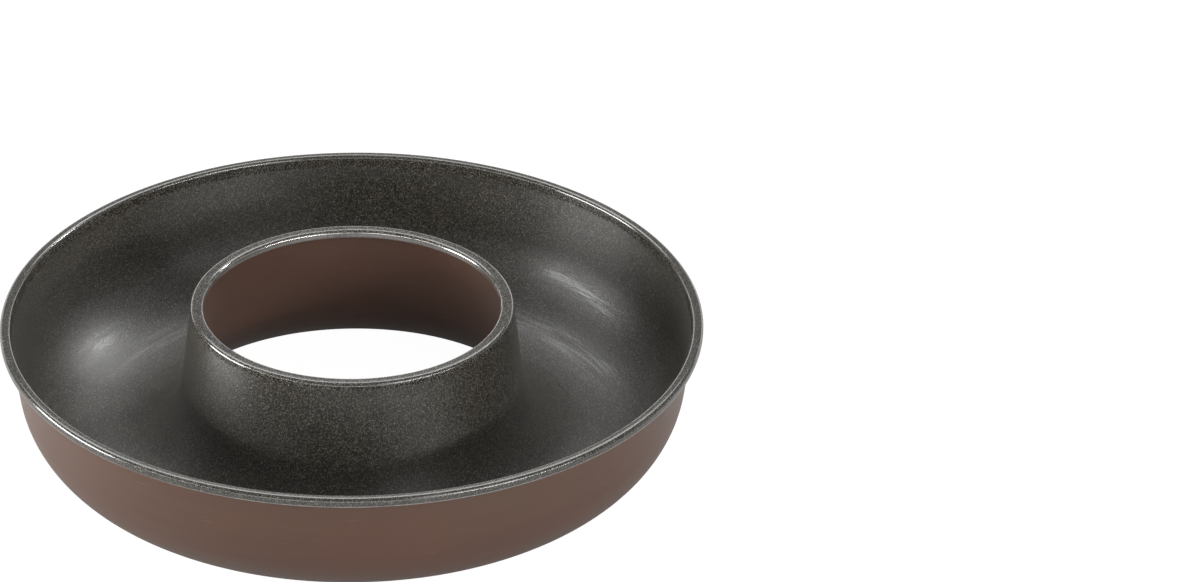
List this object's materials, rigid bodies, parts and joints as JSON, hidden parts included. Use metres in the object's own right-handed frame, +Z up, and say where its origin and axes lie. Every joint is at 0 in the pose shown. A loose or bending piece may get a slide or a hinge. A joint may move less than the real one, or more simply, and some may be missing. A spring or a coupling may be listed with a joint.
{
  "type": "savarin mould",
  "caption": "Ring-shaped baking mould of drawn steel with a rolled rim, an open tapering chimney, a dark non-stick inside and a brown lacquered outside.",
  "frame": {"origin": "on the chimney's axis, in the plane that the mould stands on", "axes": "+Z up along the chimney's axis; the mould is round, so X and Y are free"},
  "size_m": [0.22, 0.22, 0.0495],
  "materials": {
    "brown_lacquer": "gloss lacquer on drawn steel",
    "nonstick_coat": "satin, finely speckled",
    "wire_steel": "plain drawn wire"
  },
  "bodies": {
    "root": {"pressed_shell": "brown_lacquer", "nonstick_lining": "nonstick_coat", "rim_wire": "wire_steel", "chimney_wire": "wire_steel"}
  },
  "joints": []
}
